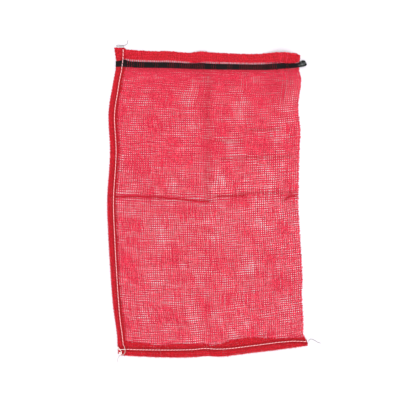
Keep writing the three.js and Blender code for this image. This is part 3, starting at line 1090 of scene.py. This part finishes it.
def add_loose_thread(node, route, material):
    line = smooth_line(route)
    length = line[1][-1]
    points = point_at(line, np.linspace(0, 1, round(length / TAIL_STEP) + 1)) * MM
    curve = bpy.data.curves.new("loose_" + node, "CURVE")
    curve.dimensions = "3D"
    spline = curve.splines.new("POLY")
    spline.points.add(len(points) - 1)
    spline.points.foreach_set("co", np.hstack([points, np.ones((len(points), 1))]).ravel())
    curve.bevel_depth = TAIL_DIAMETER / 2 * MM
    curve.bevel_resolution = 2
    curve.use_fill_caps = True
    piece = add_object("loose_" + node, curve, material)
    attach(piece, "root")
    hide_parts(node)


# Finishes

# The darker and the lighter colour of each finish, and for yarns the colour of the shade painted into them.
# The net and the folded bands are the same red yarn: the net's lighter reds are painted light, the folds'
# darker reds painted shade.
LIT_NET_COLOURS = ((0.6, 0.019, 0.048), (1, 0.072, 0.148), (0.6, 0.012, 0.027))
SHADED_FOLD_COLOURS = ((0.5, 0.005, 0.013), (0.86, 0.015, 0.039), (0.54, 0.006, 0.015))
TAPE_COLOURS = ((0.002, 0.0015, 0.0015), (0.01, 0.005, 0.006))
# The pull loop's grey streaks are painted highlight.
HIGHLIGHT_COLOURS = ((0.002, 0.0025, 0.0025), (0.11, 0.12, 0.12))
KNOT_COLOURS = ((0.94, 0.87, 0.83), (1, 0.95, 0.92))
# The stitches are white thread; their pink is painted red light thrown back onto them from the net.
RED_LIT_STITCH_COLOURS = ((1, 0.44, 0.47), (1, 0.6, 0.63))
# The loose ends that lie on the floor are the white thread in painted shade, the one that runs down from the
# side band in less of it.
THREAD_IN_HALF_SHADE_COLOURS = ((0.44, 0.41, 0.39), (0.6, 0.56, 0.53))
THREAD_IN_SHADE_COLOURS = ((0.2, 0.19, 0.18), (0.3, 0.285, 0.27))
FLOOR_COLOUR = (0.67, 0.645, 0.69, 1)
# The noise of each finish, in waves to a metre, and the levels of it between which the colours go over.
PATCH_SCALE = 400
PATCH_LEVELS = (0.36, 0.64)
GRAIN_SCALE = 2600
STREAK_STRETCH = (40, 900, 40)
STREAK_LEVELS = (0.3, 0.75)
HIGHLIGHT_STRETCH = (110, 260, 110)
HIGHLIGHT_LEVELS = (0.48, 0.66)
FIBRE_SCALE = 1800
FIBRE_LEVELS = (0.3, 0.7)
YARN_PASSES_LIGHT = 0.45


def new_finish(name):
    """A material, its nodes and its main shader."""
    material = bpy.data.materials.new(name)
    material.use_nodes = True
    tree = material.node_tree
    shader = tree.nodes["Principled BSDF"]
    return material, tree, shader


def add_noise(tree, scale=1, detail=2, stretch=(1, 1, 1)):
    """Noise on the piece's own coordinates."""
    place = tree.nodes.new("ShaderNodeTexCoord")
    mapping = tree.nodes.new("ShaderNodeMapping")
    mapping.inputs["Scale"].default_value = stretch
    noise = tree.nodes.new("ShaderNodeTexNoise")
    noise.inputs["Scale"].default_value = scale
    noise.inputs["Detail"].default_value = detail
    tree.links.new(place.outputs["Object"], mapping.inputs["Vector"])
    tree.links.new(mapping.outputs["Vector"], noise.inputs["Vector"])
    return noise.outputs["Fac"]


def add_ramp(tree, value, levels, colours):
    """The darker colour below the first level of a value, and the lighter one above the second."""
    ramp_node = tree.nodes.new("ShaderNodeValToRGB")
    for element, level, colour in zip(ramp_node.color_ramp.elements, levels, colours):
        element.position = level
        element.color = (*colour, 1)
    tree.links.new(value, ramp_node.inputs["Fac"])
    return ramp_node.outputs["Color"]


def add_range(tree, value, low, high):
    scale = tree.nodes.new("ShaderNodeMapRange")
    scale.inputs["To Min"].default_value = low
    scale.inputs["To Max"].default_value = high
    tree.links.new(value, scale.inputs["Value"])
    return scale.outputs["Result"]


def add_bump(tree, shader, height, strength, distance):
    bump = tree.nodes.new("ShaderNodeBump")
    bump.inputs["Strength"].default_value = strength
    bump.inputs["Distance"].default_value = distance
    tree.links.new(height, bump.inputs["Height"])
    tree.links.new(bump.outputs["Normal"], shader.inputs["Normal"])


def add_mix(tree, attribute, plain, changed):
    """The plain colour, changed where one of the piece's own values is 1."""
    value = tree.nodes.new("ShaderNodeAttribute")
    value.attribute_name = attribute
    mix = tree.nodes.new("ShaderNodeMix")
    mix.data_type = "RGBA"
    tree.links.new(value.outputs["Fac"], mix.inputs["Factor"])
    tree.links.new(plain, mix.inputs["A"])
    if isinstance(changed, tuple):
        mix.inputs["B"].default_value = (*changed, 1)
    else:
        tree.links.new(changed, mix.inputs["B"])
    return mix.outputs["Result"]


def red_yarn(name, deep, pale, shade_red):
    """Thin plastic yarn, which lets part of the light through, with shade painted into its colour."""
    material, tree, shader = new_finish(name)
    patches = add_noise(tree, PATCH_SCALE)
    reds = add_ramp(tree, patches, PATCH_LEVELS, (deep, pale))
    # Shade is painted into the colour where the piece's painted-shade value is high.
    colour = add_mix(tree, "painted_shade", reds, shade_red)
    tree.links.new(colour, shader.inputs["Base Color"])
    shader.inputs["Specular IOR Level"].default_value = 0.2
    tree.links.new(add_range(tree, patches, low=0.34, high=0.52), shader.inputs["Roughness"])
    add_bump(tree, shader, add_noise(tree, GRAIN_SCALE), strength=0.25, distance=0.1 * MM)
    through = tree.nodes.new("ShaderNodeBsdfTranslucent")
    tree.links.new(colour, through.inputs["Color"])
    mix = tree.nodes.new("ShaderNodeMixShader")
    mix.inputs["Fac"].default_value = YARN_PASSES_LIGHT
    tree.links.new(shader.outputs["BSDF"], mix.inputs[1])
    tree.links.new(through.outputs["BSDF"], mix.inputs[2])
    tree.links.new(mix.outputs["Shader"], tree.nodes["Material Output"].inputs["Surface"])
    return material


def black_tape():
    """Streaked black plastic, with grey highlights painted on the pull loop."""
    material, tree, shader = new_finish("black_tape")
    streaks = add_noise(tree, detail=3, stretch=STREAK_STRETCH)
    black = add_ramp(tree, streaks, STREAK_LEVELS, TAPE_COLOURS)
    grey = add_ramp(tree, add_noise(tree, stretch=HIGHLIGHT_STRETCH), HIGHLIGHT_LEVELS, HIGHLIGHT_COLOURS)
    tree.links.new(add_mix(tree, "painted_highlight", black, grey), shader.inputs["Base Color"])
    shader.inputs["Specular IOR Level"].default_value = 0.08
    tree.links.new(add_range(tree, streaks, low=0.35, high=0.55), shader.inputs["Roughness"])
    add_bump(tree, shader, streaks, strength=0.3, distance=0.2 * MM)
    return material


def white_thread(name, colours):
    """Spun thread with fine fibres."""
    material, tree, shader = new_finish(name)
    fibres = add_noise(tree, FIBRE_SCALE, detail=3)
    tree.links.new(add_ramp(tree, fibres, FIBRE_LEVELS, colours), shader.inputs["Base Color"])
    shader.inputs["Roughness"].default_value = 0.75
    shader.inputs["Specular IOR Level"].default_value = 0.2
    add_bump(tree, shader, fibres, strength=0.4, distance=0.2 * MM)
    return material


def floor_white():
    material, _, shader = new_finish("floor_white")
    shader.inputs["Base Color"].default_value = FLOOR_COLOUR
    shader.inputs["Roughness"].default_value = 0.9
    shader.inputs["Specular IOR Level"].default_value = 0.1
    return material


# Camera, floor and light

def add_camera():
    data = bpy.data.cameras.new("camera")
    data.lens = LENS
    data.sensor_width = SENSOR
    camera = bpy.data.objects.new("camera", data)
    height = PHOTO_PIXELS * MM_PER_PIXEL * LENS / SENSOR
    camera.location = Vector((*VIEW_CENTRE, height)) * MM
    bpy.context.collection.objects.link(camera)
    bpy.context.scene.camera = camera


FLOOR_HALF = 4000


def add_floor():
    bm = bmesh.new()
    bmesh.ops.create_grid(bm, x_segments=1, y_segments=1, size=FLOOR_HALF * MM)
    mesh = finished_mesh("floor", bm)
    add_object("floor", mesh, floor_white())


AMBIENT = 1.36
KEY_LIGHT = 1.2
KEY_FROM = (-0.12, -0.6, 1)
KEY_SPREAD = math.radians(40)


def add_light():
    """Even light all round, and a soft lamp high on the bottom edge's side."""
    world = bpy.data.worlds.new("studio")
    bpy.context.scene.world = world
    world.use_nodes = True
    background = world.node_tree.nodes["Background"]
    background.inputs["Color"].default_value = (1, 1, 1, 1)
    background.inputs["Strength"].default_value = AMBIENT
    data = bpy.data.lights.new("soft_lamp", "SUN")
    data.energy = KEY_LIGHT
    data.angle = KEY_SPREAD
    lamp = bpy.data.objects.new("soft_lamp", data)
    lamp.rotation_euler = Vector(KEY_FROM).to_track_quat("Z", "Y").to_euler()
    bpy.context.collection.objects.link(lamp)
    bpy.context.scene.view_settings.view_transform = "Standard"


def main():
    add_camera()
    knot = white_thread("white_thread", KNOT_COLOURS)
    # The stitches get the white thread with painted red light from the net.
    stitches = white_thread("stitch_thread_red_lit", RED_LIT_STITCH_COLOURS)
    # The loose ends on the floor get the white thread in painted shade, the side corner end in less of it.
    tail_in_half_shade = white_thread("thread_in_half_shade", THREAD_IN_HALF_SHADE_COLOURS)
    tail_in_shade = white_thread("thread_in_shade", THREAD_IN_SHADE_COLOURS)
    tail_finish = {"bottom_thread_corner_tail": knot, "side_thread_corner_tail": tail_in_half_shade}
    for node, route in TAIL_ROUTES.items():
        add_loose_thread(node, route, tail_finish.get(node, tail_in_shade))
    # The single plies get the yarn with painted light, the folded bands the yarn with painted shade.
    net = red_yarn("red_net", *LIT_NET_COLOURS)
    folds = red_yarn("red_folds_shaded", *SHADED_FOLD_COLOURS)
    front = add_ply(NET_FRONT, net)
    front_folds = [add_ply(ply, folds) for ply in (HEM_FRONT, SIDE_INNER, BOTTOM_INNER)]
    add_creases(net)
    back = add_ply(NET_BACK, net)
    back_folds = [add_ply(ply, folds) for ply in (HEM_BACK, SIDE_OUTER, BOTTOM_OUTER)]
    add_frayed_ends(net)
    add_draw_tape(black_tape())
    add_seam(
        "side_stitches", "side_seam_thread", SIDE_STITCH_RUN,
        lambda along: (side_inset(along), along), stitches,
    )
    add_seam(
        "bottom_stitches", "bottom_seam_thread", BOTTOM_STITCH_RUN,
        lambda across: (across, bottom_inset(across)), stitches,
    )
    add_floor()
    add_light()


main()
